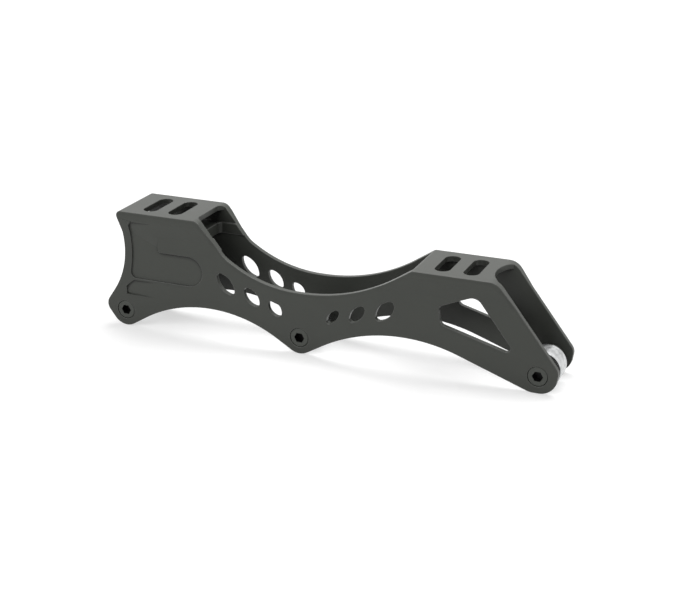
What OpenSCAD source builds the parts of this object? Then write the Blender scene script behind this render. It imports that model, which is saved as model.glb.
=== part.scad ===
// Three-wheel inline skate frame: a one-piece chassis, three axle bolts and a ball bearing on each axle.
// Millimetres. X runs from heel to toe, Y from the near wall to the far wall, Z up.
// Every outline is drawn from the middle axle; placed() then stands the frame on the ground plane.

/* [Wheel line] */
// Rear axle to middle axle
rear_axle_gap = 104; // [100:1:112]
// Middle axle to front axle
front_axle_gap = 128; // [120:1:136]
// Radius of the bosses round the axles
boss_r = 8.9; // [8.4:0.1:10]
// Level length under the front boss
front_boss_l = 3.3; // [2:0.1:5]
// How far the front boss reaches ahead of its axle
front_boss_set = 1; // [0:0.1:2]
// Radius that rounds off the heel end and the toe end
end_r = 5.8; // [5:0.1:6.6]
// Height of those end radii above the axle line
end_h = 2.3; // [1:0.1:3]
// How far the heel end's radius lies behind the rear axle
heel_end_set = 5.6; // [4.5:0.1:6.5]
// How far the toe end's radius lies ahead of the front axle
toe_end_set = 4.5; // [4:0.1:5.5]

/* [Walls] */
// Clear width between the two walls
inner_w = 27.2; // [25:0.1:30]
// Thickness of each wall
wall_t = 2.7; // [2.2:0.1:4.5]
// Axle line up to the lowest point of the top arch
arch_low = 24.9; // [22:0.1:27]
// Level length at the bottom of the top arch
arch_flat = 2; // [1:0.5:6]
// Radius of the top arch towards the heel
heel_arch_r = 72; // [66:1:76]
// Radius of the top arch towards the toe
toe_arch_r = 95.5; // [88:0.5:102]
// Axle line up to the crest of the rear lower arch
rear_crest = 8.2; // [6:0.1:10]
// Axle line up to the crest of the front lower arch
front_crest = 9.3; // [7:0.1:11]
// Share of the front axle gap at which the front lower arch has its crest
front_crest_share = 0.45; // [0.42:0.01:0.48]
// Straight stretch that blends one arc of the outline into the next
blend = 0.5; // [0.2:0.1:1]

/* [Heel] */
// Axle line up to the heel platform
heel_h = 57; // [54:0.5:61]
// Rear axle forward to the start of the heel platform's front corner
heel_reach = 44; // [41:0.5:47]
// Where the top arch steepens towards the heel, in degrees along it
heel_bend_at = 34; // [30:0.5:37]
// Radius of that steepening
heel_bend_r = 15; // [10:0.5:20]
// Radius of the heel platform's front corner
heel_front_r = 5; // [3:0.5:7]
// Radius of the heel platform's rear corner
heel_rear_r = 2.5; // [1.5:0.5:4]
// Height of the narrowest place of the heel end
waist_h = 36; // [32:0.5:39]
// How far the narrowest place lies ahead of the rear axle
waist_set = 1.2; // [0:0.1:2.5]
// Thickness of the cross bridge under the heel platform
bridge_t = 6; // [4:0.5:8]
// Clear height between the cross bridge and the heel platform
bridge_gap = 6.7; // [5:0.1:8]
// Radius kept free for the rear wheel
wheel_room = 52; // [51:0.5:53]
// How far the inner rails stand out of the walls
rail_t = 0.8; // [0.5:0.1:1.2]

/* [Toe] */
// Axle line up to the toe platform
toe_h = 46.3; // [43:0.1:49]
// Radius of the toe platform's rear corner
toe_rear_r = 3; // [2:0.5:5]
// Radius of the toe platform's front corner
toe_front_r = 8; // [5:0.5:10]
// Front axle back to the start of the toe platform's front corner
toe_setback = 26; // [24:0.5:29]
// Radius of the scoop in the toe platform's front edge
scoop_r = 21; // [18:0.5:26]
// How far the scoop's deepest point lies behind the front corner's start
scoop_set = 1.5; // [0.5:0.5:3]

/* [Platforms] */
// Thickness of both platforms
platform_t = 3; // [2.5:0.1:5]
// How far the platforms overhang each wall
flange_out = 1.6; // [0.8:0.1:2.4]
// Height of the overhanging edge
flange_h = 4; // [3:0.5:6]
// Height over which the overhang slopes back to the wall
flange_slope = 8; // [5:0.5:11]
// Fillet between a cross web and the walls
web_fillet = 4; // [2:0.5:6]
// Inner slots, heel to toe
slot_span = 150; // [146:1:154]
// Inner slot to outer slot
slot_pitch = 15; // [12:0.5:16]
// Width of a slot
slot_w = 8; // [6.5:0.5:9]
// Length of a slot, across the frame
slot_l = 24; // [18:0.5:25]

/* [Lightening] */
// First hole of the heel row, back from the middle axle
heel_row_start = 13.7; // [12:0.1:15]
// First hole of the toe row, ahead of the middle axle
toe_row_start = 18.9; // [17:0.1:20]
// Height of a row where it would meet the middle axle's own plane
row_h = 9.5; // [8.5:0.1:11]
// Rise of the heel row for each millimetre along it
heel_row_rise = 0.335; // [0.3:0.005:0.37]
// Rise of the toe row for each millimetre along it
toe_row_rise = 0.263; // [0.24:0.001:0.29]
// First pitch of a row
row_pitch = 13.4; // [12.5:0.1:14]
// How much each pitch grows over the one before
row_pitch_step = 1.8; // [1:0.1:2]
// Holes in a row
row_count = 3; // [2:1:3]
// Length of the first hole
oval_l = 9.5; // [8:0.1:11]
// Width of the heel row's first hole
heel_oval_w = 6.4; // [5:0.1:7]
// Width of the toe row's first hole
toe_oval_w = 4.4; // [3.6:0.1:5.4]
// How much each hole is longer than the one before
oval_l_step = 2; // [1:0.1:2.6]
// How much each hole of the heel row is wider than the one before
heel_oval_step = 0.4; // [0.2:0.1:0.8]
// How much each hole of the toe row is wider than the one before
toe_oval_step = 1.4; // [0.8:0.1:1.6]
// Lean of the holes from the wheel line
oval_lean = 50; // [45:1:60]
// Radius of an oval's ends as a share of its width
oval_end_share = 0.3; // [0.2:0.05:0.45]
// Band left between the nose and its window
window_band = 14; // [12:0.1:16]
// Window's tip up to its top, along the nose
window_rise = 20.2; // [17:0.1:23]
// Window's tip above the axle line
window_tip_h = 12.5; // [11:0.1:17]
// Window's length from the tip back
window_l = 31.6; // [26:0.1:33]
// Rise of the window's lower side for each millimetre back from the tip
window_floor_rise = 0.305; // [0.28:0.005:0.33]
// Height of the window's back between its two corners
window_back_h = 4.8; // [4:0.1:6]
// How far the back's upper corner lies behind the lower one
window_back_lean = 0.7; // [0:0.1:1.5]
// Corner radius at the window's top
window_top_r = 5; // [3:0.5:6]
// Corner radius at the window's tip
window_tip_r = 2.2; // [1.6:0.1:4]
// Corner radius at the window's back
window_back_r = 3.1; // [2:0.1:4]

/* [Relief] */
// Depth of the relief on the outer faces at the heel
relief_d = 1.1; // [0.6:0.1:1.5]
// Band left between the heel end and the relief
relief_band = 4.5; // [3.5:0.1:6]
// Relief's lower edge above the axle line
relief_low = 19.4; // [17:0.1:22]
// Height of the relief's tongue
tongue_h = 16.4; // [13:0.1:18]
// Rear axle forward to the centre of the tongue's round end
tongue_reach = 39.7; // [36:0.1:42]
// Rear axle forward to the relief's upright edge
column_reach = 21.6; // [18:0.1:24]
// Heel platform down to the relief's upper edge
relief_drop = 5.4; // [4:0.1:7]
// Radius of the relief's corners
relief_corner_r = 3; // [2:0.5:4]
// Band left between the relief and the ramp below it
ramp_band = 1.2; // [0.8:0.1:2]
// Height of the lower ramp beside the rear boss
ramp_h = 8.6; // [6:0.1:9.6]
// Length over which the ramp runs out to the wall's face
ramp_l = 17; // [12:0.5:20]
// How far the ramp's deep end lies ahead of the rear axle
ramp_set = 1.1; // [0:0.1:3]
// Corner cut off the ramp's deep end
ramp_corner = 4.5; // [3:0.5:6]

/* [Axles] */
// Diameter of an axle
axle_d = 8; // [7:0.5:10]
// Diameter of an axle's head
head_d = 10.2; // [9.4:0.1:11]
// Thickness of an axle's head
head_t = 2; // [1.4:0.1:2.2]
// Gap round the head in its seat
head_gap = 0.15; // [0.1:0.05:0.6]
// How deep the head sits below the wall's face
head_sink = 0.1; // [0:0.1:0.6]
// Edge break on an axle
axle_break = 0.4; // [0.2:0.1:0.6]
// Key size of the hexagon socket
socket_af = 5; // [4:0.5:6]
// Depth of the hexagon socket
socket_depth = 4.5; // [3:0.1:6]
// Thickness of the pads round the axles, inside the walls
pad_t = 0.85; // [0.5:0.05:1.2]
// Radius of the pads
pad_r = 5.5; // [5:0.1:8]

/* [Bearings] */
// Outer diameter of a bearing
bearing_d = 19; // [18:0.5:22]
// Width of a bearing
bearing_w = 11.5; // [7:0.5:14]
// How far a bearing sits from the frame's middle, towards the far wall
bearing_set = -1.2; // [-3:0.1:3]
// Diameter of the ball circle
ball_circle = 13.5; // [13:0.1:14.5]
// Diameter of a ball
ball_d = 3; // [2.6:0.1:3.2]
// Balls in a bearing
ball_count = 8; // [6:1:9]
// Thickness of the inner and outer rings beyond the ball circle's shoulders
ring_shoulder = 1.25; // [1:0.05:1.4]
// Thickness of a shield
shield_t = 0.3; // [0.2:0.05:0.5]
// How deep a shield sits in the outer ring's face
shield_sink = 0.35; // [0.2:0.05:0.6]
// Seat that a shield has in the outer ring
shield_seat = 0.45; // [0.3:0.05:0.6]
// Gap round a ball in its cage
pocket_gap = 0.12; // [0.06:0.01:0.2]
// Edge break on the rings
ring_break = 0.35; // [0.2:0.05:0.5]

/* [Fits] */
// Running clearance of shafts in holes and balls in grooves, on the radius
run_fit = 0.04; // [0.02:0.01:0.08]
// Gap between pieces that turn past each other
turn_gap = 0.25; // [0.15:0.05:0.35]

/* [Hidden] */

$fn = 64;
graphite = [0.27, 0.28, 0.265];
dark_steel = [0.2, 0.21, 0.2];
bright_steel = [0.82, 0.83, 0.84];
polished_steel = [0.9, 0.9, 0.92];
cage_brass = [0.72, 0.6, 0.34];

// Longest and widest straight step that stands for an arc of the outline
facet_length = 3;
facet_angle = 7.5;
// Overlap that makes two fused shapes share a volume, and a margin that takes a cut clear of a face
lap = 1;

rear_x = -rear_axle_gap;
front_x = front_axle_gap;
wall_in = inner_w / 2;
wall_out = wall_in + wall_t;
platform_out = wall_out + flange_out;

// Arcs of the wall's outline, as [x, z, radius]: a negative radius is a hollow arc
heel_end = [rear_x - heel_end_set, end_h, end_r];
rear_boss = [rear_x, 0, boss_r];
middle_boss = [0, 0, boss_r];
tail_boss = [front_x + front_boss_set - front_boss_l, 0, boss_r];
front_boss = [front_x + front_boss_set, 0, boss_r];
toe_end = [front_x + toe_end_set, end_h, end_r];
rear_arch = lower_arch(-rear_axle_gap / 2, rear_crest);
front_arch = lower_arch(front_axle_gap * front_crest_share, front_crest);
toe_arch = [arch_flat / 2, arch_low + toe_arch_r, -toe_arch_r];
heel_arch = [-arch_flat / 2, arch_low + heel_arch_r, -heel_arch_r];
toe_front = [front_x - toe_setback, toe_h - toe_front_r, toe_front_r];
toe_rear = beside(toe_arch, toe_h - toe_rear_r, toe_rear_r, 1);
heel_bend = within(heel_arch, heel_bend_at, heel_bend_r);
heel_front = [rear_x + heel_reach, heel_h - heel_front_r, heel_front_r];
waist_x = rear_x + waist_set;
waist_r = waist_radius(heel_end, waist_x, waist_h);
waist = [waist_x - waist_r, waist_h, -waist_r];
heel_rear = beside(waist, heel_h - heel_rear_r, heel_rear_r, 1);
wall_arcs = [
    heel_end, rear_boss, rear_arch, middle_boss, front_arch, tail_boss, front_boss, toe_end,
    toe_front, toe_rear, toe_arch, heel_arch, heel_bend, heel_front, heel_rear, waist
];

// Cross webs
heel_edge_x = heel_front[0];
toe_edge_x = toe_rear[0] - toe_rear_r / 2;
bridge_top = heel_h - platform_t - bridge_gap;
bridge_low = bridge_top - bridge_t;

// The frame stands on its bearings or its bosses, with the middle of its length over the origin
x_min = heel_end[0] - end_r;
x_max = toe_end[0] + end_r;
shift_x = -(x_min + x_max) / 2;
axle_z = max(boss_r, bearing_d / 2);

// Bearing
bore_r = axle_d / 2 + run_fit;
ball_r = ball_d / 2;
groove_r = ball_r + run_fit;
circle_r = ball_circle / 2;
inner_shoulder_r = circle_r - ring_shoulder;
outer_shoulder_r = circle_r + ring_shoulder;
seat_r = outer_shoulder_r + shield_seat;

// A hollow lower arch whose ends run into the middle boss
function lower_arch(x, crest) =
    let (reach = boss_r + blend)
    let (r = (x * x + crest * crest - reach * reach) / (2 * (crest + reach)))
    [x, crest - r, -r];

// A round corner at height z that the hollow arc runs into, ahead of it (+1) or behind it (-1)
function beside(arc, z, r, way) =
    let (reach = r - arc[2] + blend)
    [arc[0] + way * sqrt(reach * reach - (arc[1] - z) * (arc[1] - z)), z, r];

// A tighter hollow arc that takes over from a wider one, so many degrees back from its lowest point
function within(arc, at, r) =
    let (reach = norm([-arc[2] - r, 2 * blend]))
    [arc[0] - reach * sin(at), arc[1] - reach * cos(at), -r];

// Radius of the hollow heel end that passes through the waist and runs into the round end below
function waist_radius(end, x, z) =
    let (dx = end[0] - x, dz = end[1] - z, reach = end[2] + blend)
    (dx * dx + dz * dz - reach * reach) / (2 * (reach - dx));

// Heading of the straight line that leaves arc a and meets arc b
function heading(a, b) =
    let (dx = b[0] - a[0], dz = b[1] - a[1])
    atan2(dz, dx) - asin((b[2] - a[2]) / norm([dx, dz]));

// Turn from one heading to the next: left on a round arc, right on a hollow one
function turn(from, to, r) = r > 0 ? (to - from + 720) % 360 : -((from - to + 720) % 360);

function arc_points(arc, from, sweep) =
    let (length = abs(arc[2] * sweep) * PI / 180)
    let (steps = max(ceil(length / facet_length), ceil(abs(sweep) / facet_angle), 1))
    [
        for (i = [0 : steps])
            let (a = from + sweep * i / steps) [arc[0] + arc[2] * sin(a), arc[1] - arc[2] * cos(a)]
    ];

// Closed outline round a ring of arcs, joined by their common tangents
function outline(arcs) =
    let (n = len(arcs), headings = [for (i = [0 : n - 1]) heading(arcs[i], arcs[(i + 1) % n])])
    [
        for (i = [0 : n - 1])
            let (from = headings[(i + n - 1) % n])
            each arc_points(arcs[i], from, turn(from, headings[i], arcs[i][2]))
    ];

module placed() {
    translate([shift_x, 0, axle_z]) children();
}

// A shape drawn in X and Z, given a thickness from y0 to y1
module upright(y0, y1) {
    translate([0, y1, 0]) rotate([90, 0, 0]) linear_extrude(y1 - y0) children();
}

// A shape turned round the axle line at x, drawn as radius and Y
module turned(x) {
    translate([x, 0, 0]) rotate([-90, 0, 0]) rotate_extrude() children();
}

module on_both_walls() {
    children();
    mirror([0, 1, 0]) children();
}

module wall_prism(y0, y1) {
    upright(y0, y1) polygon(outline(wall_arcs));
}

module walls() {
    on_both_walls() wall_prism(wall_in, wall_out);
}

// Overhanging edge of a platform whose top is at height top, over the stretch from x0 to x1
module flange(top, x0, x1) {
    on_both_walls() translate([x0, 0, 0]) rotate([90, 0, 90]) linear_extrude(x1 - x0) polygon([
        [wall_out - lap, top - flange_h - flange_slope - lap],
        [wall_out, top - flange_h - flange_slope],
        [platform_out, top - flange_h],
        [platform_out, top + lap],
        [wall_out - lap, top + lap]
    ]);
}

// Plan of a web across the frame from x0 to x1, with fillets to the walls at x1
module web_plan(x0, x1) {
    translate([x0, -wall_in - lap]) square([x1 - x0, inner_w + 2 * lap]);
    for (side = [-1, 1]) difference() {
        translate([x1 - lap, side > 0 ? wall_in - web_fillet : -wall_in - lap])
            square([web_fillet + lap, web_fillet + lap]);
        translate([x1 + web_fillet, side * (wall_in - web_fillet)]) circle(r = web_fillet + run_fit);
    }
}

module platforms() {
    intersection() {
        wall_prism(-platform_out, platform_out);
        union() {
            flange(heel_h, x_min, 0);
            flange(toe_h, toe_arch[0] + toe_arch_r / 4, x_max);
            translate([0, 0, heel_h - platform_t])
                linear_extrude(platform_t + lap) web_plan(x_min, heel_edge_x);
            translate([0, 0, toe_h - platform_t]) linear_extrude(platform_t + lap) difference() {
                translate([toe_edge_x, -wall_in - lap]) square([x_max - toe_edge_x, inner_w + 2 * lap]);
                translate([toe_front[0] - scoop_set + scoop_r, 0]) circle(r = scoop_r);
                translate([toe_front[0] - scoop_set + scoop_r, -wall_in - 2 * lap])
                    square([x_max, inner_w + 4 * lap]);
            }
        }
    }
}

// Cross bridge below the heel platform, hollowed for the rear wheel, and the rails that run on from it
module bridge() {
    intersection() {
        wall_prism(-wall_in - lap, wall_in + lap);
        union() {
            difference() {
                translate([0, 0, bridge_low]) linear_extrude(bridge_t) web_plan(rear_x, heel_edge_x);
                turned(rear_x) translate([0, -wall_out]) square([wheel_room, 2 * wall_out]);
            }
            on_both_walls() translate([heel_edge_x - lap, wall_in - rail_t, bridge_low])
                cube([rear_axle_gap, rail_t + lap / 2, bridge_t]);
        }
    }
}

module axle_pads() {
    for (x = [rear_x, 0, front_x]) on_both_walls()
        turned(x) translate([0, wall_in - pad_t]) square([pad_r, pad_t + lap / 2]);
}

module slots() {
    for (way = [-1, 1]) for (step = [0, 1]) {
        x = way * (slot_span / 2 + step * slot_pitch);
        top = way < 0 ? heel_h : toe_h;
        translate([x, 0, top - platform_t - lap]) {
            for (end = [-1, 1]) translate([0, end * (slot_l - slot_w) / 2, 0])
                cylinder(d = slot_w, h = platform_t + 2 * lap);
            translate([-slot_w / 2, -(slot_l - slot_w) / 2, 0])
                cube([slot_w, slot_l - slot_w, platform_t + 2 * lap]);
        }
    }
}

// Oval of length l and width w, its ends rounder than an ellipse's
function oval(l, w) =
    let (end = w * oval_end_share, side = (l * l / 4 + w * w / 4 - l * end) / (w - 2 * end))
    outline([
        [l / 2 - end, 0, end], [0, w / 2 - side, side],
        [end - l / 2, 0, end], [0, side - w / 2, side]
    ]);

// Slanted ovals that rise and grow away from the middle axle, forward (+1) or back (-1)
module oval_row(way, start, rise, w, w_step) {
    for (k = [0 : row_count - 1]) {
        along = start + k * row_pitch + row_pitch_step * k * (k - 1) / 2;
        translate([way * along, row_h + rise * along]) rotate(way * oval_lean)
            polygon(oval(oval_l + k * oval_l_step, w + k * w_step));
    }
}

// Three-cornered window behind the nose, one side along the nose's own slope
module window() {
    nose = heading(toe_end, toe_front);
    inward = [cos(nose + 90), sin(nose + 90)];
    along = [cos(nose), sin(nose)];
    foot = [toe_end[0], toe_end[1]] + (window_band - end_r) * inward;
    up = (window_tip_h - foot[1] - window_tip_r * inward[1]) / along[1];
    tip = foot + up * along + window_tip_r * inward;
    top = tip + window_rise / along[1] * along + (window_top_r - window_tip_r) * inward;
    back_low = [tip[0] - window_l, tip[1] + window_l * window_floor_rise];
    back_high = [back_low[0] - window_back_lean, back_low[1] + window_back_h];
    polygon(outline([
        [tip[0], tip[1], window_tip_r], [top[0], top[1], window_top_r],
        [back_high[0], back_high[1], window_back_r], [back_low[0], back_low[1], window_back_r]
    ]));
}

// Relief on the outer face: an upright band beside the heel end with a round tongue below
module relief() {
    low = relief_low;
    high = heel_h - relief_drop;
    corner = relief_corner_r;
    tongue_r = tongue_h / 2;
    edge = [waist[0], waist[1], -waist_r - relief_band];
    polygon(outline([
        beside(edge, low + corner, corner, 1),
        [rear_x + tongue_reach, low + tongue_r, tongue_r],
        [rear_x + column_reach + corner / 2, low + tongue_h + corner / 2, -corner / 2],
        [rear_x + column_reach - corner, high - corner, corner],
        beside(edge, high - corner, corner, 1),
        edge
    ]));
}

// Relief's cut: below the overhang its floor is level, beside the overhang it leans out with it
// and runs out towards the toe
module relief_cut() {
    foot = heel_h - flange_h - flange_slope;
    run = column_reach - relief_corner_r - waist_set - relief_band;
    difference() {
        upright(-platform_out - lap, -wall_out + relief_d) relief();
        translate([rear_x + waist_set + relief_band + run, -wall_out, foot])
            rotate([0, 0, -atan2(relief_d, run)]) translate([-2 * column_reach, 0, 0])
            rotate([90, 0, 90]) linear_extrude(2 * column_reach + 2 * relief_corner_r) polygon([
                [2 * flange_out, -2 * flange_slope], [2 * flange_out + wall_t, -2 * flange_slope],
                [wall_t, 2 * flange_slope], [-2 * flange_out, 2 * flange_slope]
            ]);
    }
}

// Shallow ramp under the relief that deepens towards the rear boss
module ramp_cut() {
    high = relief_low - ramp_band;
    low = high - ramp_h;
    translate([rear_x + ramp_set + ramp_l, -wall_out, 0]) rotate([0, 0, -atan2(relief_d, ramp_l)])
        upright(-relief_d - lap, 0) polygon([
            [-ramp_l, low], [lap, low], [lap, high],
            [ramp_corner - ramp_l, high], [-ramp_l, high - ramp_corner]
        ]);
}

module axle_bores() {
    for (x = [rear_x, 0, front_x]) {
        turned(x) translate([0, -platform_out]) square([bore_r, 2 * platform_out]);
        turned(x) translate([0, -wall_out - lap])
            square([head_d / 2 + head_gap, lap + head_sink + head_t]);
    }
}

module chassis() {
    color(graphite) placed() difference() {
        union() {
            walls();
            platforms();
            bridge();
            axle_pads();
        }
        slots();
        upright(-platform_out - lap, platform_out + lap) {
            oval_row(-1, heel_row_start, heel_row_rise, heel_oval_w, heel_oval_step);
            oval_row(1, toe_row_start, toe_row_rise, toe_oval_w, toe_oval_step);
            window();
        }
        on_both_walls() {
            relief_cut();
            ramp_cut();
        }
        axle_bores();
    }
}

// Axle bolt: head sunk in the near wall, shaft through to the far wall's face
module axle(x) {
    head_y = head_sink - wall_out;
    seat_y = head_y + head_t;
    end_y = wall_out - run_fit;
    color(dark_steel) placed() difference() {
        turned(x) polygon([
            [0, head_y], [head_d / 2 - axle_break, head_y], [head_d / 2, head_y + axle_break],
            [head_d / 2, seat_y], [axle_d / 2, seat_y], [axle_d / 2, end_y - axle_break],
            [axle_d / 2 - axle_break, end_y], [0, end_y]
        ]);
        translate([x, head_y - lap, 0]) rotate([-90, 0, 0])
            cylinder(d = socket_af / cos(30), h = socket_depth + lap, $fn = 6);
    }
}

// Ring of a bearing between two radii, with its ball groove and broken edges
module ring_profile(r0, r1) {
    half = bearing_w / 2;
    difference() {
        polygon([
            [r0, ring_break - half], [r0 + ring_break, -half], [r1 - ring_break, -half],
            [r1, ring_break - half], [r1, half - ring_break], [r1 - ring_break, half],
            [r0 + ring_break, half], [r0, half - ring_break]
        ]);
        translate([circle_r, 0]) circle(r = groove_r);
    }
}

module bearing_at(x) {
    placed() translate([0, bearing_set, 0]) turned(x) children();
}

module inner_ring(x) {
    color(bright_steel) bearing_at(x) ring_profile(bore_r, inner_shoulder_r);
}

// Outer ring, with a stepped seat for a shield at each end
module outer_ring(x) {
    seat_depth = shield_sink + shield_t;
    color(bright_steel) bearing_at(x) difference() {
        ring_profile(outer_shoulder_r, bearing_d / 2);
        for (end = [-1, 1]) translate([0, end * bearing_w / 2 - seat_depth])
            square([seat_r, 2 * seat_depth]);
    }
}

module balls(x) {
    color(polished_steel) placed() translate([x, bearing_set, 0]) for (i = [0 : ball_count - 1])
        rotate([0, i * 360 / ball_count, 0]) translate([circle_r, 0, 0]) sphere(d = ball_d);
}

// Crown cage: a ring between the shoulders, open on the near side of every ball
module cage(x) {
    r0 = inner_shoulder_r + turn_gap;
    r1 = outer_shoulder_r - turn_gap;
    color(cage_brass) placed() translate([0, bearing_set, 0]) difference() {
        turned(x) translate([r0, -ball_r / 2]) square([r1 - r0, ball_r / 2 + ball_r + turn_gap]);
        translate([x, 0, 0]) for (i = [0 : ball_count - 1])
            rotate([0, i * 360 / ball_count, 0]) translate([circle_r, 0, 0]) sphere(r = ball_r + pocket_gap);
    }
}

// Shield seated in the outer ring, at the near end (-1) or the far end (+1)
module shield(x, end) {
    middle = end * (bearing_w / 2 - shield_sink - shield_t / 2);
    color(bright_steel) bearing_at(x) translate([inner_shoulder_r + turn_gap, middle - shield_t / 2])
        square([seat_r - run_fit - inner_shoulder_r - turn_gap, shield_t]);
}

chassis();
axle(rear_x);  // rear_axle
axle(0);  // middle_axle
axle(front_x);  // front_axle
inner_ring(rear_x);  // rear_bearing_inner_ring
outer_ring(rear_x);  // rear_bearing_outer_ring
balls(rear_x);  // rear_bearing_balls
cage(rear_x);  // rear_bearing_cage
shield(rear_x, -1);  // rear_bearing_near_shield
shield(rear_x, 1);  // rear_bearing_far_shield
inner_ring(0);  // middle_bearing_inner_ring
outer_ring(0);  // middle_bearing_outer_ring
balls(0);  // middle_bearing_balls
cage(0);  // middle_bearing_cage
shield(0, -1);  // middle_bearing_near_shield
shield(0, 1);  // middle_bearing_far_shield
inner_ring(front_x);  // front_bearing_inner_ring
outer_ring(front_x);  // front_bearing_outer_ring
balls(front_x);  // front_bearing_balls
cage(front_x);  // front_bearing_cage
shield(front_x, -1);  // front_bearing_near_shield
shield(front_x, 1);  // front_bearing_far_shield
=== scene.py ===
"""Dressed scene of a three-wheel inline skate frame: coated chassis, axle bolts and ball bearings."""

import logging
import math
from dataclasses import dataclass, field
from enum import Enum
from typing import ClassVar, Optional, Sequence, Union

import bmesh
import bpy
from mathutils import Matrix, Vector
from mathutils.geometry import delaunay_2d_cdt


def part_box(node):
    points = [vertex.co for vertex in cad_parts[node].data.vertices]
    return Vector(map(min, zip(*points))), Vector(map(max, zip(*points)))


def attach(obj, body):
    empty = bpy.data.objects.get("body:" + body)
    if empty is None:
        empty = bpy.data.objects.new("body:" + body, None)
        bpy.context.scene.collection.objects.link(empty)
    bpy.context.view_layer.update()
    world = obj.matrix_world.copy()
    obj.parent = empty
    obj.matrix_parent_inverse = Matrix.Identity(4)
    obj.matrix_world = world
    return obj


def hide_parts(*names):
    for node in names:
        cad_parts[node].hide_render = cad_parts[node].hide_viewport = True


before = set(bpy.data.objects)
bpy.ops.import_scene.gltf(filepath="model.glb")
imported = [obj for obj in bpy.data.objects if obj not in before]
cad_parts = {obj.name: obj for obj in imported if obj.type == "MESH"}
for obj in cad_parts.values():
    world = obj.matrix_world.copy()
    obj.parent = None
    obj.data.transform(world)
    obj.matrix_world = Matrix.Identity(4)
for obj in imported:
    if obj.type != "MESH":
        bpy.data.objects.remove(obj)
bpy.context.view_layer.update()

LOG = logging.getLogger("skate_frame")
MM = 0.001
EDGE_ATTRIBUTE = "edge_break"
# Black for painted shade: inside axle sockets, under overhangs and between the walls.
SHADE_BLACK = (0.004, 0.004, 0.004)

Colour = tuple[float, float, float]
Place = tuple[float, float]
Number = Union[bpy.types.NodeSocket, float]
Tint = Union[bpy.types.NodeSocket, Colour]


class Station(Enum):
    """The three places along the wheel line where an axle crosses the frame."""

    REAR = "rear"
    MIDDLE = "middle"
    FRONT = "front"

    @property
    def axle(self) -> str:
        """Name of the axle's node."""
        return f"{self.value}_axle"

    def bearing(self, piece: str) -> str:
        """Name of a node or a body of this station's bearing.

        Args:
            piece: the node's own name, such as "outer_ring", or the body's, such as "race".

        Returns:
            The full name.
        """
        return f"{self.value}_bearing_{piece}"

    @property
    def centre(self) -> Vector:
        """Middle of this station's outer ring, in metres."""
        low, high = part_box(self.bearing("outer_ring"))
        return (Vector(low) + Vector(high)) / 2


@dataclass
class Graph:
    """A node tree under construction, with short ways to add and join nodes.

    Attributes:
        tree: the shader or geometry node tree.
    """

    # Places of the colour sockets in a Mix node.
    MIX_A: ClassVar[int] = 6
    MIX_B: ClassVar[int] = 7
    MIX_RESULT: ClassVar[int] = 2

    tree: bpy.types.NodeTree

    def add(self, kind: str, **settings: object) -> bpy.types.Node:
        """Adds a node.

        Args:
            kind: the node's type name.
            settings: attributes of the node to set.

        Returns:
            The new node.
        """
        node = self.tree.nodes.new(kind)
        for name, value in settings.items():
            setattr(node, name, value)
        return node

    def join(self, start: bpy.types.NodeSocket, end: bpy.types.NodeSocket) -> None:
        """Links an output to an input."""
        self.tree.links.new(start, end)

    def split(self, vector: bpy.types.NodeSocket) -> bpy.types.NodeOutputs:
        """Adds a node that takes a vector apart, and gives its X, Y and Z outputs."""
        node = self.add("ShaderNodeSeparateXYZ")
        self.join(vector, node.inputs[0])
        return node.outputs

    def openness(self, reach: float, normal: Optional[bpy.types.NodeSocket] = None) -> bpy.types.NodeSocket:
        """Measures how open the space before a face is, within the piece itself.

        Args:
            reach: how far to look, in metres.
            normal: which way to look, if not straight out of the face.

        Returns:
            Socket that is 1 in the open and 0 where all is closed.
        """
        node = self.add("ShaderNodeAmbientOcclusion", only_local=True)
        node.inputs["Distance"].default_value = reach
        if normal is not None:
            self.join(normal, node.inputs["Normal"])
        return node.outputs["AO"]

    def maths(self, operation: str, a: Number, b: Optional[Number] = None) -> bpy.types.NodeSocket:
        """Adds a Math node whose operands are sockets or numbers.

        Args:
            operation: the Math node's operation.
            a: first operand.
            b: second operand, if the operation has one.

        Returns:
            The node's output socket.
        """
        node = self.add("ShaderNodeMath", operation=operation)
        for index, value in enumerate((a, b)):
            if isinstance(value, bpy.types.NodeSocket):
                self.join(value, node.inputs[index])
            elif value is not None:
                node.inputs[index].default_value = value
        return node.outputs[0]

    def ramp(
        self, value: bpy.types.NodeSocket, low: float, high: float, start: float = 0.0, stop: float = 1.0
    ) -> bpy.types.NodeSocket:
        """Maps a value from start..stop onto low..high.

        Args:
            value: the socket to map.
            low: result at the start.
            high: result at the stop.
            start: the lowest value to expect.
            stop: the highest value to expect.

        Returns:
            The mapped socket.
        """
        node = self.add("ShaderNodeMapRange")
        node.inputs["From Min"].default_value = start
        node.inputs["From Max"].default_value = stop
        node.inputs["To Min"].default_value = low
        node.inputs["To Max"].default_value = high
        self.join(value, node.inputs["Value"])
        return node.outputs["Result"]

    def blend(self, factor: bpy.types.NodeSocket, a: Tint, b: Tint) -> bpy.types.NodeSocket:
        """Mixes two colours.

        Args:
            factor: socket with the share of b.
            a: first colour, a socket or a tuple.
            b: second colour, a socket or a tuple.

        Returns:
            The mixed colour's socket.
        """
        node = self.add("ShaderNodeMix", data_type="RGBA")
        self.join(factor, node.inputs[0])
        for index, value in ((self.MIX_A, a), (self.MIX_B, b)):
            if isinstance(value, bpy.types.NodeSocket):
                self.join(value, node.inputs[index])
            else:
                node.inputs[index].default_value = (*value, 1.0)
        return node.outputs[self.MIX_RESULT]


class EffectGroup(Enum):
    """Shader node groups that more than one finish uses."""

    GRAIN = "satin_grain"
    LATHE = "lathe_rings"
    WEAR = "edge_wear"


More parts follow.
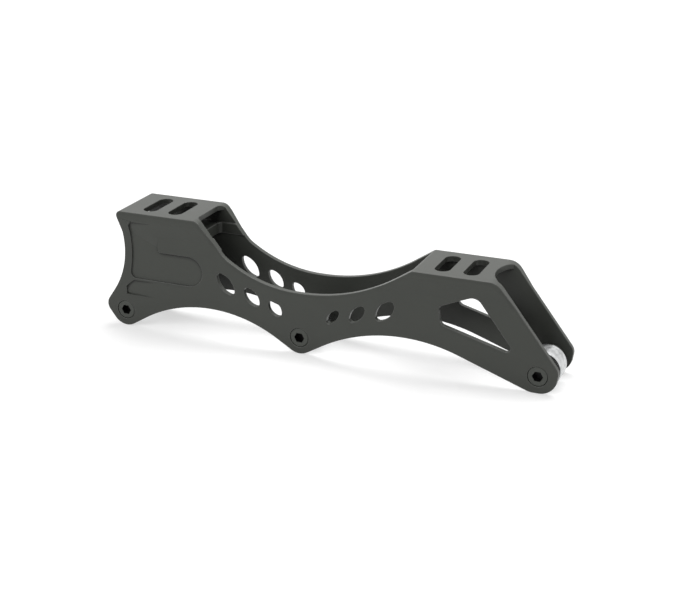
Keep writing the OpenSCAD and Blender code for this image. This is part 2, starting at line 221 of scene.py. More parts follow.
def new_group(
    effect: EffectGroup, inputs: dict[str, float], outputs: Sequence[str]
) -> tuple[Graph, bpy.types.Node, bpy.types.Node]:
    """Starts a shader node group that reads a place and some numbers, and puts out numbers.

    Args:
        effect: which group this is.
        inputs: name and default of each number that it reads.
        outputs: name of each number that it puts out.

    Returns:
        The graph, its input node and its output node.
    """
    tree = bpy.data.node_groups.new(effect.value, "ShaderNodeTree")
    tree.interface.new_socket(name="Vector", in_out="INPUT", socket_type="NodeSocketVector")
    for name, default in inputs.items():
        socket = tree.interface.new_socket(name=name, in_out="INPUT", socket_type="NodeSocketFloat")
        socket.default_value = default
    for name in outputs:
        tree.interface.new_socket(name=name, in_out="OUTPUT", socket_type="NodeSocketFloat")
    graph = Graph(tree)
    return graph, graph.add("NodeGroupInput"), graph.add("NodeGroupOutput")


def build_grain() -> None:
    """Builds the fine grain and slow mottling that a coated or blasted surface has."""
    graph, start, end = new_group(
        EffectGroup.GRAIN, {"Fine": 6000.0, "Slow": 60.0}, ("Speckle", "Mottle")
    )
    for scale, output, detail in (("Fine", "Speckle", 3.0), ("Slow", "Mottle", 2.0)):
        noise = graph.add("ShaderNodeTexNoise")
        noise.inputs["Detail"].default_value = detail
        graph.join(start.outputs["Vector"], noise.inputs["Vector"])
        graph.join(start.outputs[scale], noise.inputs["Scale"])
        graph.join(noise.outputs["Fac"], end.inputs[output])


def build_lathe(centres: Sequence[Place]) -> None:
    """Builds the fine rings that turning leaves round the nearest axle.

    Args:
        centres: X and Z of each axle, in metres.
    """
    graph, start, end = new_group(EffectGroup.LATHE, {"Pitch": 0.3 * MM}, ("Rings", "Radius"))
    place = graph.split(start.outputs["Vector"])
    nearest = None
    for x, z in centres:
        dx = graph.maths("SUBTRACT", place["X"], x)
        dz = graph.maths("SUBTRACT", place["Z"], z)
        square = graph.maths("ADD", graph.maths("MULTIPLY", dx, dx), graph.maths("MULTIPLY", dz, dz))
        distance = graph.maths("SQRT", square)
        nearest = distance if nearest is None else graph.maths("MINIMUM", nearest, distance)
    turns = graph.maths("DIVIDE", nearest, start.outputs["Pitch"])
    wave = graph.maths("SINE", graph.maths("MULTIPLY", turns, 2 * math.pi))
    graph.join(graph.ramp(wave, 0.0, 1.0, start=-1.0), end.inputs["Rings"])
    graph.join(nearest, end.inputs["Radius"])


@dataclass(frozen=True)
class Grime:
    """Painted shade under overhangs and in the hollow between the walls: colour darkened where shade falls.

    Attributes:
        reach: how far an overhang is looked for, in metres.
        lean: turns the look upwards and to the toe, so that only corners under an overhang count.
        dark_at: openness at which a corner is darkest.
        clean_at: openness from which a corner is clean.
        depth: strength in the darkest corner.
        level_share: share of that strength on a face that doesn't look sideways.
        hollow_reach: how far walls are looked for in the hollow, in metres.
        hollow_half: half the hollow's width, in metres.
        hollow_depth: strength where the hollow is fully closed.
    """

    reach: float = 3.0 * MM
    lean: tuple[float, float, float] = (0.35, 0.0, 1.1)
    dark_at: float = 0.55
    clean_at: float = 0.86
    depth: float = 0.9
    level_share: float = 0.2
    hollow_reach: float = 40.0 * MM
    hollow_half: float = 14.0 * MM
    hollow_depth: float = 0.85

    def mask(self, graph: Graph, vector: bpy.types.NodeSocket) -> bpy.types.NodeSocket:
        """Adds the mask of painted shade.

        Args:
            graph: the tree to add it to.
            vector: socket with the object's own coordinates.

        Returns:
            Socket that is 0 where no shade is painted.
        """
        normal = graph.add("ShaderNodeNewGeometry").outputs["Normal"]
        across = graph.maths("ABSOLUTE", graph.split(normal)["Y"])
        sideways = graph.ramp(across, self.level_share, 1.0)
        # Painted shade: corners under an overhang and the hollow between the walls are darkened as if
        # shaded.
        corner = graph.openness(self.reach, self._leant(graph, normal))
        under_ledge = graph.ramp(corner, self.depth, 0.0, start=self.dark_at, stop=self.clean_at)
        off_middle = graph.maths("ABSOLUTE", graph.split(vector)["Y"])
        between = graph.maths("LESS_THAN", off_middle, self.hollow_half)
        inside = graph.ramp(graph.openness(self.hollow_reach), self.hollow_depth, 0.0)
        on_sides = graph.maths("MULTIPLY", under_ledge, sideways)
        return graph.maths("MAXIMUM", on_sides, graph.maths("MULTIPLY", inside, between))

    def _leant(self, graph: Graph, normal: bpy.types.NodeSocket) -> bpy.types.NodeSocket:
        """Turns a face's direction towards an overhang."""
        total = graph.add("ShaderNodeVectorMath", operation="ADD")
        total.inputs[1].default_value = self.lean
        graph.join(normal, total.inputs[0])
        unit = graph.add("ShaderNodeVectorMath", operation="NORMALIZE")
        graph.join(total.outputs["Vector"], unit.inputs[0])
        return unit.outputs["Vector"]


def build_edge_light_and_shade(scale: float = 220.0, detail: float = 4.0, least: float = 0.35) -> None:
    """Builds the uneven mask of broken edges painted lighter, as worn coat and painted highlight, and the
    mask of painted shade.

    Args:
        scale: scale of the unevenness.
        detail: detail of the unevenness.
        least: share of the edge lightening that is left where it is weakest.
    """
    graph, start, end = new_group(EffectGroup.WEAR, {"Edge": 0.0, "Amount": 0.5}, ("Mask", "Grime"))
    noise = graph.add("ShaderNodeTexNoise")
    noise.inputs["Scale"].default_value = scale
    noise.inputs["Detail"].default_value = detail
    graph.join(start.outputs["Vector"], noise.inputs["Vector"])
    patchy = graph.ramp(noise.outputs["Fac"], least, 1.0)
    uneven = graph.maths("MULTIPLY", start.outputs["Edge"], patchy)
    graph.join(graph.maths("MULTIPLY", uneven, start.outputs["Amount"]), end.inputs["Mask"])
    # Painted shade under overhangs and in the hollow between the walls.
    graph.join(Grime().mask(graph, start.outputs["Vector"]), end.inputs["Grime"])


@dataclass(frozen=True)
class Finish:
    """A surface finish as a procedural material.

    Attributes:
        name: the material's name.
        colour: base colour, linear.
        metallic: how far the surface is bare metal.
        specular: level of the gloss on a coat.
        roughness: mean roughness.
        spread: how far roughness strays from the mean.
        speckle: how much the fine grain changes the colour.
        mottle: how much slow mottling changes the colour.
        fine: scale of the fine grain.
        slow: scale of the slow mottling.
        bump: height of the grain, in metres.
        rings: height of turning marks, in metres, or 0 for none.
        pitch: pitch of turning marks, in metres.
        wear: how far broken edges that stand out are painted lighter, as worn coat and as painted
            highlight.
        wear_and_highlight_colour: colour of those lighter edges, linear.
        socket_r: radius round the axle within which the socket is painted black as shade, in metres, or 0
            for none.
        socket_y: where the painted shade begins, along the axle, in metres.
    """

    BUMP_STRENGTH: ClassVar[float] = 0.5
    SPECKLE_SHADE: ClassVar[float] = 0.35
    GRAIN_AMONG_RINGS: ClassVar[float] = 0.3

    name: str
    colour: Colour
    metallic: float = 0.0
    specular: float = 0.5
    roughness: float = 0.45
    spread: float = 0.08
    speckle: float = 0.1
    mottle: float = 0.06
    fine: float = 5000.0
    slow: float = 60.0
    bump: float = 0.006 * MM
    rings: float = 0.0
    pitch: float = 0.3 * MM
    wear: float = 0.0
    wear_and_highlight_colour: Colour = (0.3, 0.3, 0.3)
    socket_r: float = 0.0
    socket_y: float = 0.0

    def build(self) -> bpy.types.Material:
        """Builds the material.

        Returns:
            The material.
        """
        material = bpy.data.materials.new(self.name)
        material.use_nodes = True
        graph = Graph(material.node_tree)
        shader = material.node_tree.nodes["Principled BSDF"]
        shader.inputs["Metallic"].default_value = self.metallic
        shader.inputs["Specular IOR Level"].default_value = self.specular
        place = graph.add("ShaderNodeTexCoord").outputs["Object"]
        grain = self._group(graph, EffectGroup.GRAIN, place)
        grain.inputs["Fine"].default_value = self.fine
        grain.inputs["Slow"].default_value = self.slow
        colour = self._tint(graph, grain)
        height = grain.outputs["Speckle"]
        if self.wear:
            colour = self._paint_edges_and_shade(graph, place, colour)
        if self.socket_r:
            colour = self._paint_socket_shade(graph, place, colour)
        graph.join(colour, shader.inputs["Base Color"])
        smoothest, roughest = self.roughness - self.spread, self.roughness + self.spread
        graph.join(graph.ramp(grain.outputs["Mottle"], smoothest, roughest), shader.inputs["Roughness"])
        bump = graph.add("ShaderNodeBump")
        bump.inputs["Strength"].default_value = self.BUMP_STRENGTH
        bump.inputs["Distance"].default_value = max(self.bump, self.rings)
        if self.rings:
            lathe = self._group(graph, EffectGroup.LATHE, place)
            lathe.inputs["Pitch"].default_value = self.pitch
            low_grain = graph.maths("MULTIPLY", height, self.GRAIN_AMONG_RINGS)
            height = graph.maths("ADD", low_grain, lathe.outputs["Rings"])
        graph.join(height, bump.inputs["Height"])
        graph.join(bump.outputs["Normal"], shader.inputs["Normal"])
        return material

    def _group(self, graph: Graph, effect: EffectGroup, place: bpy.types.NodeSocket) -> bpy.types.Node:
        """Places a shared effect group that reads the object's own coordinates."""
        node = graph.add("ShaderNodeGroup", node_tree=bpy.data.node_groups[effect.value])
        graph.join(place, node.inputs["Vector"])
        return node

    def _tint(self, graph: Graph, grain: bpy.types.Node) -> bpy.types.NodeSocket:
        """Varies the base colour with the grain and the mottling."""
        light = tuple(min(1.0, c * (1 + self.mottle)) for c in self.colour)
        dark = tuple(c * (1 - self.mottle) for c in self.colour)
        base = graph.blend(grain.outputs["Mottle"], dark, light)
        strength = graph.ramp(grain.outputs["Speckle"], 0.0, self.speckle)
        return graph.blend(strength, base, tuple(c * self.SPECKLE_SHADE for c in self.colour))

    def _paint_edges_and_shade(
        self, graph: Graph, place: bpy.types.NodeSocket, colour: bpy.types.NodeSocket
    ) -> bpy.types.NodeSocket:
        """Lightens broken edges as worn coat and painted highlight, and paints shade under overhangs and
        between walls.
        """
        wear = self._group(graph, EffectGroup.WEAR, place)
        wear.inputs["Amount"].default_value = self.wear
        edge = graph.add("ShaderNodeAttribute", attribute_name=EDGE_ATTRIBUTE)
        graph.join(edge.outputs["Fac"], wear.inputs["Edge"])
        # Broken edges painted lighter: partly worn coat, partly painted highlight.
        lit_edges = graph.blend(wear.outputs["Mask"], colour, self.wear_and_highlight_colour)
        # Painted shade: darkened towards black under overhangs and in the hollow between the walls.
        return graph.blend(wear.outputs["Grime"], lit_edges, SHADE_BLACK)

    def _paint_socket_shade(
        self, graph: Graph, place: bpy.types.NodeSocket, colour: bpy.types.NodeSocket
    ) -> bpy.types.NodeSocket:
        """Paints shade into an axle's socket: its inside is darkened to black."""
        lathe = self._group(graph, EffectGroup.LATHE, place)
        inside = graph.maths("LESS_THAN", lathe.outputs["Radius"], self.socket_r)
        deep = graph.maths("GREATER_THAN", graph.split(place)["Y"], self.socket_y)
        return graph.blend(graph.maths("MULTIPLY", inside, deep), colour, SHADE_BLACK)


class Finishes(Enum):
    """The finishes of the frame and its running gear."""

    COAT = Finish(
        "graphite_coat", (0.0605, 0.0642, 0.0565), specular=0.28, roughness=0.36, speckle=0.12,
        # Broken edges painted lighter, partly worn coat and partly painted highlight; painted shade comes
        # with them.
        wear=0.45, wear_and_highlight_colour=(0.14, 0.142, 0.136),
    )
    AXLE = Finish(
        "blackened_axle", (0.085, 0.09, 0.081), specular=0.2, roughness=0.42,
        # Socket inside painted black as shade.
        rings=0.004 * MM, pitch=0.4 * MM, socket_r=2.95 * MM, socket_y=-16.0 * MM,
    )
    RING = Finish(
        "ground_ring_steel", (0.78, 0.79, 0.8), metallic=1.0, roughness=0.22, spread=0.05,
        speckle=0.03, mottle=0.03, rings=0.0015 * MM, pitch=0.25 * MM,
    )
    RACE = Finish(
        "mottled_race_steel_painted_highlight", (0.56, 0.57, 0.57), metallic=1.0, roughness=0.34, spread=0.14,
        speckle=0.05, mottle=0.6, slow=420.0, rings=0.0015 * MM, pitch=0.25 * MM,
        # Broken rims painted white as a painted highlight of the chamfers, with painted shade in its
        # corners.
        wear=1.0, wear_and_highlight_colour=(1.0, 1.0, 1.0),
    )
    SHIELD = Finish(
        "pressed_shield_steel", (0.6, 0.61, 0.62), metallic=1.0, roughness=0.3, spread=0.06,
        speckle=0.05, mottle=0.04, rings=0.003 * MM, pitch=0.5 * MM,
    )
    BALL = Finish(
        "polished_ball_steel", (0.85, 0.85, 0.87), metallic=1.0, roughness=0.08, spread=0.03,
        speckle=0.02, mottle=0.02, bump=0.001 * MM,
    )
    CAGE = Finish(
        "stamped_cage_brass", (0.55, 0.4, 0.16), metallic=1.0, roughness=0.35,
        speckle=0.06, mottle=0.08,
    )

    @property
    def material(self) -> bpy.types.Material:
        """The finish's material, built on first use."""
        return bpy.data.materials.get(self.value.name) or self.value.build()


@dataclass
class EdgedPiece:
    """A solid with its arcs smoothed and its edges broken.

    Attributes:
        node: the solid's node.
        body: the body it rides on.
        slot: the record's material slot; not used.
        finish: what it is finished with.
        keep_sharp: distance from its Y axis within which edges stay sharp, in metres.
        merge: distance at which the solid's loose corners join, in metres.
        level: angle below which neighbouring facets are one flat, in radians.
        arc: angle up to which neighbouring flats belong to one arc, in radians.
        sharp: angle above which an edge is broken, in radians.
        edge_break: width of a broken edge, in metres.
        least_width: width of the narrowest flat that gives up an edge break, in edge breaks.
        segments: steps across a broken edge.
    """

    node: str
    body: str
    slot: str
    finish: Finishes
    keep_sharp: float = 0.0
    merge: float = 0.0015 * MM
    level: float = math.radians(0.4)
    arc: float = math.radians(8.5)
    sharp: float = math.radians(20)
    edge_break: float = 0.35 * MM
    least_width: float = 2.2
    segments: int = 3

    def build(self) -> bpy.types.Object:
        """Builds the dressed piece from a copy of the solid.

        Returns:
            The new piece.
        """
        form = bmesh.new()
        form.from_mesh(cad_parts[self.node].data)
        bmesh.ops.remove_doubles(form, verts=form.verts, dist=self.merge)
        bmesh.ops.dissolve_limit(form, angle_limit=self.level, verts=form.verts, edges=form.edges)
        flats = Flats(form, self.level)
        self._break_edges(form, flats)
        flats.mend()
        mesh = bpy.data.meshes.new(f"dressed_{self.node}")
        form.to_mesh(mesh)
        mesh.normals_split_custom_set(flats.corner_normals(self.arc))
        form.free()
        piece = bpy.data.objects.new(mesh.name, mesh)
        bpy.context.scene.collection.objects.link(piece)
        return piece

    def _break_edges(self, form: bmesh.types.BMesh, flats: "Flats") -> None:
        """Breaks every sharp edge between flats that are wide enough.

        Args:
            form: the solid.
            flats: its flats.
        """
        room = self.least_width * self.edge_break
        low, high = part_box(self.node)
        axis = (Vector(low) + Vector(high)) / 2
        edges = [
            e for e in form.edges
            if e.is_manifold and abs(e.calc_face_angle(0.0)) > self.sharp
            and all(flats.area_beside(f) > room * e.calc_length() for f in e.link_faces)
            and all((v.co - axis).xz.length >= self.keep_sharp for v in e.verts)
        ]
        bmesh.ops.triangulate(form, faces=form.faces, quad_method="BEAUTY", ngon_method="BEAUTY")
        made = bmesh.ops.bevel(
            form, geom=edges, offset=self.edge_break, offset_type="OFFSET", segments=self.segments,
            profile=0.5, affect="EDGES", clamp_overlap=False, loop_slide=False,
        )
        flats.leave_out(made["faces"])
        for face in form.faces:
            face.smooth = True

    def dress(self) -> None:
        """Builds the piece, finishes it and puts it in place of the solid."""
        piece = self.build()
        piece.data.materials.append(self.finish.material)
        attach(piece, self.body)
        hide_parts(self.node)
        LOG.info("%s: %d faces", piece.name, len(piece.data.polygons))


class Flats:
    """The flat faces of a solid, numbered, so that they stay flat when its edges are broken."""

    BROKEN = -1
    SAME_SIDE = 0.5
    BREAK_BEND = math.radians(62)
    POINTS_APART = 1e-7

    def __init__(self, form: bmesh.types.BMesh, level: float) -> None:
        """Numbers each set of neighbouring faces that lie in one plane.

        Args:
            form: the solid.
            level: angle below which neighbours are one flat, in radians.
        """
        self.form = form
        self.number = form.faces.layers.int.new("flat")
        self.mark = form.faces.layers.float.new(EDGE_ATTRIBUTE)
        self.normals: list[Vector] = []
        self.areas: list[float] = []
        for face in form.faces:
            face[self.number] = self.BROKEN
        for face in form.faces:
            if face[self.number] == self.BROKEN:
                self._spread(face, level)

    def _spread(self, first: bmesh.types.BMFace, level: float) -> None:
        """Numbers one flat, from one of its faces outwards."""
        number = len(self.normals)
        first[self.number] = number
        waiting, lean, area = [first], Vector(), 0.0
        while waiting:
            face = waiting.pop()
            lean += face.normal * face.calc_area()
            area += face.calc_area()
            for edge in face.edges:
                if len(edge.link_faces) == 2 and abs(edge.calc_face_angle(0.0)) < level:
                    for other in edge.link_faces:
                        if other[self.number] == self.BROKEN:
                            other[self.number] = number
                            waiting.append(other)
        self.normals.append(lean.normalized())
        self.areas.append(area)

    def area_beside(self, face: bmesh.types.BMFace) -> float:
        """Area of the flat that a face belongs to, in square metres."""
        return self.areas[face[self.number]]

    def leave_out(self, faces: Sequence[bmesh.types.BMFace]) -> None:
        """Marks the faces of broken edges, which belong to no flat, and which of them stand out."""
        self.form.normal_update()
        for face in faces:
            face[self.number] = self.BROKEN
            bend = sum(e.calc_face_angle_signed(0.0) for e in face.edges)
            face[self.mark] = float(bend > 0)

    def mend(self) -> None:
        """Fills afresh each flat in which a long thin triangle turned over."""
        members: dict[int, list[bmesh.types.BMFace]] = {}
        for face in self.form.faces:
            members.setdefault(face[self.number], []).append(face)
        members.pop(self.BROKEN, None)
        for number, faces in members.items():
            if any(f.normal.dot(self.normals[number]) < self.SAME_SIDE for f in faces):
                self._refill(number, faces)
        self.form.normal_update()
        self.form.faces.index_update()

    def _refill(self, number: int, faces: list[bmesh.types.BMFace]) -> None:
        """Fills one flat's border with new triangles, unless the border crosses itself.

        Args:
            number: the flat's number.
            faces: the flat's faces.
        """
        own, normal = set(faces), self.normals[number]
        rim = [e for e in {e for f in faces for e in f.edges} if len(own.intersection(e.link_faces)) == 1]
        rim.sort(key=lambda e: (*e.verts[0].co, *e.verts[1].co))
        corners = list(dict.fromkeys(v for e in rim for v in e.verts))
        place = {v: i for i, v in enumerate(corners)}
        across = normal.orthogonal().normalized()
        along = normal.cross(across)
        plan = [Vector((v.co.dot(across), v.co.dot(along))) / MM for v in corners]
        links = [(place[e.verts[0]], place[e.verts[1]]) for e in rim]
        points, _, triangles, *_ = delaunay_2d_cdt(plan, links, [], 0, self.POINTS_APART)
        if len(points) != len(corners):
            return
        sides = [(plan[a], plan[b]) for a, b in links]
        bmesh.ops.delete(self.form, geom=faces, context="FACES_ONLY")
        for corner_numbers in triangles:
            if encloses(sides, sum((plan[i] for i in corner_numbers), Vector((0.0, 0.0))) / 3):
                face = self.form.faces.new([corners[i] for i in corner_numbers])
                face.normal_update()
                if face.normal.dot(normal) < 0:
                    face.normal_flip()
                face.smooth = True
                face[self.number] = number
        for edge in [e for e in self.form.edges if not e.link_faces]:
            self.form.edges.remove(edge)

    def corner_normals(self, arc: float) -> list[Vector]:
        """Works out a shading normal for each corner of each face.

        A flat shades flat, neighbouring flats of an arc shade as one round face, and a broken edge
        runs smoothly from one flat to the next.

        Args:
            arc: angle up to which neighbouring flats belong to one arc, in radians.

        Returns:
            The normals, in the order of the faces' corners.
        """
        arc_cos, edge_cos = math.cos(arc), math.cos(self.BREAK_BEND)
        return [
            self._corner_normal(face, corner.vert, arc_cos, edge_cos)
            for face in self.form.faces for corner in face.loops
        ]

    def _corner_normal(
        self, face: bmesh.types.BMFace, vert: bmesh.types.BMVert, arc_cos: float, edge_cos: float
    ) -> Vector:
        """Works out one corner's shading normal."""
        if face[self.number] != self.BROKEN:
            own = self.normals[face[self.number]]
            near = [f for f in vert.link_faces if f[self.number] != self.BROKEN]
            chosen = {f[self.number] for f in near if self.normals[f[self.number]].dot(own) > arc_cos}
            return sum((self.normals[n] * self.areas[n] for n in chosen), Vector()).normalized()
        near = [f for f in vert.link_faces if f.normal.dot(face.normal) > edge_cos]
        flat = {f[self.number] for f in near if f[self.number] != self.BROKEN}
        if flat:
            return sum((self.normals[n] * self.areas[n] for n in flat), Vector()).normalized()
        return sum((f.normal * f.calc_area() for f in near), Vector()).normalized()


def encloses(sides: Sequence[tuple[Vector, Vector]], point: Vector) -> bool:
    """Tells whether a closed border goes round a point.

    Args:
        sides: the border's sides, in any order.
        point: the point.

    Returns:
        True if the point lies inside.
    """
    crossings = sum(
        (a.y > point.y) != (b.y > point.y)
        and point.x < a.x + (point.y - a.y) / (b.y - a.y) * (b.x - a.x)
        for a, b in sides
    )
    return crossings % 2 == 1


def keep_result(piece: bpy.types.Object) -> None:
    """Replaces a piece's mesh by what its modifiers make of it, and removes them.

    Args:
        piece: the piece to settle.
    """
    graph = bpy.context.evaluated_depsgraph_get()
    settled = bpy.data.meshes.new_from_object(piece.evaluated_get(graph), depsgraph=graph)
    piece.modifiers.clear()
    piece.data = settled


@dataclass
class Axle:
    """An axle bolt, kept as its solid.

    Attributes:
        station: where the axle is.
    """

    station: Station

    def dress(self) -> None:
        """Gives the axle its finish."""
        repaint(self.station.axle, Finishes.AXLE)


def repaint(node: str, finish: Finishes) -> None:
    """Gives a solid's object a finish in all its slots.

    Args:
        node: the solid's node.
        finish: the finish to use.
    """
    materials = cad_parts[node].data.materials
    if not materials:
        materials.append(finish.material)
    for index in range(len(materials)):
        materials[index] = finish.material
    LOG.info("%s: %s", node, finish.value.name)


class BallSocket(Enum):
    """Inputs of the ball ring's geometry tree."""

    COUNT = ("Balls", "NodeSocketInt")
    CIRCLE = ("Circle radius", "NodeSocketFloat")
    BALL = ("Ball radius", "NodeSocketFloat")
    CENTRE = ("Centre", "NodeSocketVector")
    FINISH = ("Finish", "NodeSocketMaterial")


@dataclass
class Bearing:
    """A ball bearing on one axle.

    Attributes:
        station: where the bearing is.
        balls: how many balls it holds.
        circle_r: radius of the ball circle, in metres.
        ball_r: radius of a ball, in metres.
        rim_r: radius inside the outer ring's rims, in metres.
        rim_break: width of the outer ring's broken rims, in metres.
        finishes: finish of each piece that keeps its solid.
    """

    BALL_SEGMENTS: ClassVar[int] = 32
    BALL_RINGS: ClassVar[int] = 16

    station: Station
    balls: int = 8
    circle_r: float = 6.75 * MM
    ball_r: float = 1.5 * MM
    rim_r: float = 9.0 * MM
    rim_break: float = 0.6 * MM
    finishes: dict[str, Finishes] = field(
        default_factory=lambda: {
            "inner_ring": Finishes.RING,
            "near_shield": Finishes.SHIELD,
            "far_shield": Finishes.SHIELD,
            "cage": Finishes.CAGE,
        }
    )

    @classmethod
    def ball_tree(cls) -> bpy.types.NodeTree:
        """Builds the tree that sets balls round a circle, once for all bearings.

        Returns:
            The geometry node tree.
        """
        known = bpy.data.node_groups.get("ball_ring")
        if known:
            return known
        tree = bpy.data.node_groups.new("ball_ring", "GeometryNodeTree")
        for socket in BallSocket:
            tree.interface.new_socket(name=socket.value[0], in_out="INPUT", socket_type=socket.value[1])
        tree.interface.new_socket(name="Geometry", in_out="OUTPUT", socket_type="NodeSocketGeometry")
        graph = Graph(tree)
        start, end = graph.add("NodeGroupInput"), graph.add("NodeGroupOutput")
        circle = graph.add("GeometryNodeMeshCircle")
        ball = graph.add("GeometryNodeMeshUVSphere")
        ball.inputs["Segments"].default_value = cls.BALL_SEGMENTS
        ball.inputs["Rings"].default_value = cls.BALL_RINGS
        place = graph.add("GeometryNodeInstanceOnPoints")
        turn = graph.add("GeometryNodeTransform")
        turn.inputs["Rotation"].default_value = (math.pi / 2, 0.0, 0.0)
        real = graph.add("GeometryNodeRealizeInstances")
        soft = graph.add("GeometryNodeSetShadeSmooth")
        paint = graph.add("GeometryNodeSetMaterial")
        source = {s: start.outputs[s.value[0]] for s in BallSocket}
        graph.join(source[BallSocket.COUNT], circle.inputs["Vertices"])
        graph.join(source[BallSocket.CIRCLE], circle.inputs["Radius"])
        graph.join(source[BallSocket.BALL], ball.inputs["Radius"])
        graph.join(source[BallSocket.CENTRE], turn.inputs["Translation"])
        graph.join(source[BallSocket.FINISH], paint.inputs["Material"])
        graph.join(circle.outputs["Mesh"], place.inputs["Points"])
        graph.join(ball.outputs["Mesh"], place.inputs["Instance"])
        graph.join(place.outputs["Instances"], turn.inputs["Geometry"])
        graph.join(turn.outputs["Geometry"], real.inputs["Geometry"])
        graph.join(real.outputs["Geometry"], soft.inputs["Geometry"])
        graph.join(soft.outputs["Geometry"], paint.inputs["Geometry"])
        graph.join(paint.outputs["Geometry"], end.inputs["Geometry"])
        return tree

    def build_balls(self) -> bpy.types.Object:
        """Builds this bearing's balls as one plain mesh.

        Returns:
            The new piece.
        """
        name = f"{self.station.value}_ball_set"
        piece = bpy.data.objects.new(name, bpy.data.meshes.new(name))
        bpy.context.scene.collection.objects.link(piece)
        modifier = piece.modifiers.new("balls", "NODES")
        modifier.node_group = self.ball_tree()
        values = {
            BallSocket.COUNT: self.balls,
            BallSocket.CIRCLE: self.circle_r,
            BallSocket.BALL: self.ball_r,
            BallSocket.CENTRE: self.station.centre,
            BallSocket.FINISH: Finishes.BALL.material,
        }
        rows = modifier.node_group.interface.items_tree
        named = {row.name: row.identifier for row in rows if row.in_out == "INPUT"}
        for socket, value in values.items():
            modifier[named[socket.value[0]]] = value
        piece.update_tag()
        bpy.context.view_layer.update()
        keep_result(piece)
        return piece

    def dress(self) -> None:
        """Finishes the rings, shields and cage, and sets the balls."""
        for piece, finish in self.finishes.items():
            repaint(self.station.bearing(piece), finish)
        EdgedPiece(
            self.station.bearing("outer_ring"), self.station.bearing("race"), "ring_steel", Finishes.RACE,
            keep_sharp=self.rim_r, edge_break=self.rim_break,
        ).dress()
        balls = self.build_balls()
        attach(balls, self.station.bearing("train"))
        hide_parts(self.station.bearing("balls"))
        LOG.info("%s: %d faces", balls.name, len(balls.data.polygons))


@dataclass(frozen=True)
class Lamp:
    """A soft rectangular studio lamp aimed at the frame.

    Attributes:
        name: the lamp's name.
        place: where it hangs, in metres.
        size: width and height, in metres.
        power: in watts.
    """

    name: str
    place: tuple[float, float, float]
    size: tuple[float, float]
    power: float

    def build(self, aim: Vector) -> None:
        """Hangs the lamp and turns it towards a point.

        Args:
            aim: the point, in metres.
        """
        data = bpy.data.lights.new(self.name, "AREA")
        data.shape = "RECTANGLE"
        data.size, data.size_y = self.size
        data.energy = self.power
        lamp = bpy.data.objects.new(self.name, data)
        lamp.location = self.place
        lamp.rotation_euler = (aim - Vector(self.place)).to_track_quat("-Z", "Y").to_euler()
        bpy.context.scene.collection.objects.link(lamp)


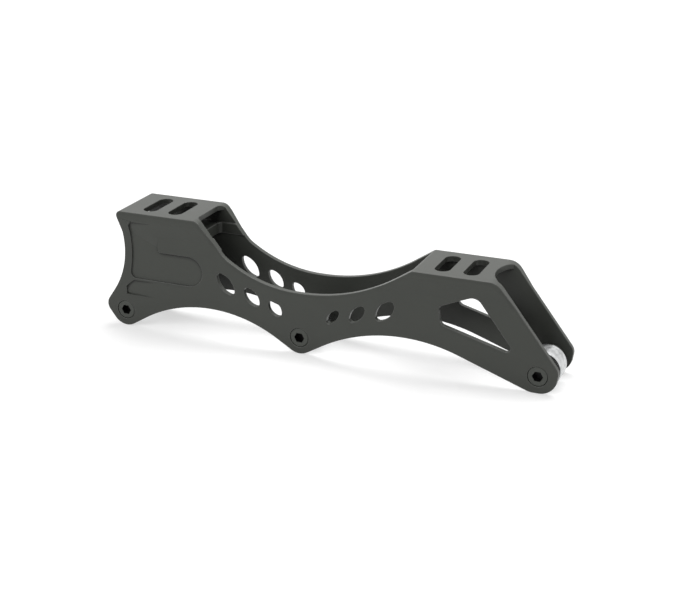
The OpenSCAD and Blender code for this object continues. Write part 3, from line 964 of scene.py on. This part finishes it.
@dataclass
class Studio:
    """Floor, light and camera.

    Attributes:
        floor_size: side of the floor, in metres.
        floor_grey: how much light the floor throws back.
        floor_glow: how much the floor near the frame is lightened where it is seen.
        shadow_reach: distance beyond which the floor grows fully white, in metres.
        ambient: level of the surrounding light on the object.
        target: point that the camera looks at, in metres.
        azimuth: camera's turn round the frame, in degrees.
        elevation: camera's height angle, in degrees.
        distance: camera's distance from the target, in metres.
        lens: focal length, in millimetres.
        sensor: width of the camera's sensor, in millimetres.
        clip: nearest and furthest distance that the camera sees, in metres.
    """

    floor_size: float = 8.0
    floor_grey: float = 0.45
    floor_glow: float = 0.6
    shadow_reach: float = 0.3
    ambient: float = 0.2
    target: Vector = field(default_factory=lambda: Vector((4.31, 0.0, 28.93)) * MM)
    azimuth: float = 22.801
    elevation: float = 21.069
    distance: float = 0.74444
    lens: float = 75.554
    sensor: float = 36.0
    clip: tuple[float, float] = (0.01, 50.0)
    lamps: tuple[Lamp, ...] = (
        Lamp("overhead_softbox", (0.1, 0.35, 1.05), (1.2, 0.6), 13.6),
        Lamp("front_softbox", (-0.3, -1.05, 0.75), (1.0, 0.3), 8.0),
        Lamp("toe_softbox", (1.1, -0.2, 0.5), (0.6, 0.8), 0.8),
    )

    def build(self) -> None:
        """Builds the floor, the light and the camera."""
        self.build_floor()
        self.build_world()
        for lamp in self.lamps:
            lamp.build(self.target)
        self.build_camera()
        bpy.context.scene.view_settings.view_transform = "Standard"

    @staticmethod
    def seen_directly(graph: Graph) -> bpy.types.NodeSocket:
        """Adds a mask of the rays by which a background shows.

        Args:
            graph: the tree to add it to.

        Returns:
            Socket that is 1 for camera, glossy and transmission rays.
        """
        path = graph.add("ShaderNodeLightPath")
        shown = graph.maths("MAXIMUM", path.outputs["Is Camera Ray"], path.outputs["Is Glossy Ray"])
        return graph.maths("MAXIMUM", shown, path.outputs["Is Transmission Ray"])

    def build_floor(self) -> None:
        """Lays the pale floor, which shows white apart from the frame's shadow."""
        half = self.floor_size / 2
        mesh = bpy.data.meshes.new("floor")
        corners = [(-half, -half, 0), (half, -half, 0), (half, half, 0), (-half, half, 0)]
        mesh.from_pydata(corners, [], [(0, 1, 2, 3)])
        floor = bpy.data.objects.new("floor", mesh)
        bpy.context.scene.collection.objects.link(floor)
        material = bpy.data.materials.new("pale_floor")
        material.use_nodes = True
        material.node_tree.nodes.clear()
        graph = Graph(material.node_tree)
        paint, glow = graph.add("ShaderNodeBsdfDiffuse"), graph.add("ShaderNodeEmission")
        paint.inputs["Color"].default_value = (*(self.floor_grey,) * 3, 1)
        total, out = graph.add("ShaderNodeAddShader"), graph.add("ShaderNodeOutputMaterial")
        reach = graph.add("ShaderNodeVectorMath", operation="LENGTH")
        graph.join(graph.add("ShaderNodeTexCoord").outputs["Object"], reach.inputs[0])
        level = graph.ramp(reach.outputs["Value"], self.floor_glow, 1.0, start=self.shadow_reach)
        graph.join(graph.maths("MULTIPLY", self.seen_directly(graph), level), glow.inputs["Strength"])
        graph.join(paint.outputs[0], total.inputs[0])
        graph.join(glow.outputs[0], total.inputs[1])
        graph.join(total.outputs[0], out.inputs["Surface"])
        mesh.materials.append(material)

    def build_world(self) -> None:
        """Surrounds the scene with white that shows fully and lights softly."""
        world = bpy.data.worlds.new("studio")
        world.use_nodes = True
        world.node_tree.nodes.clear()
        graph = Graph(world.node_tree)
        sky, out = graph.add("ShaderNodeBackground"), graph.add("ShaderNodeOutputWorld")
        graph.join(graph.ramp(self.seen_directly(graph), self.ambient, 1.0), sky.inputs["Strength"])
        sky.inputs["Color"].default_value = (1, 1, 1, 1)
        graph.join(sky.outputs[0], out.inputs["Surface"])
        bpy.context.scene.world = world

    def build_camera(self) -> None:
        """Sets the camera at the viewing angle."""
        turn, rise = math.radians(self.azimuth), math.radians(self.elevation)
        back = Vector((math.sin(turn) * math.cos(rise), -math.cos(turn) * math.cos(rise), math.sin(rise)))
        data = bpy.data.cameras.new("camera")
        data.sensor_fit = "HORIZONTAL"
        data.sensor_width = self.sensor
        data.lens = self.lens
        data.clip_start, data.clip_end = self.clip
        camera = bpy.data.objects.new("camera", data)
        camera.location = self.target + back * self.distance
        camera.rotation_mode = "QUATERNION"
        camera.rotation_quaternion = (-back).to_track_quat("-Z", "Y")
        bpy.context.scene.collection.objects.link(camera)
        bpy.context.scene.camera = camera


def main() -> None:
    """Builds the effects, the frame, its running gear and the studio, in that order."""
    logging.basicConfig(level=logging.INFO, format="%(name)s: %(message)s")
    build_grain()
    build_lathe([(s.centre.x, s.centre.z) for s in Station])
    build_edge_light_and_shade()
    EdgedPiece("chassis", "frame", "frame_metal", Finishes.COAT).dress()
    for station in Station:
        Axle(station).dress()
        Bearing(station).dress()
    Studio().build()


if __name__ == "__main__":
    main()
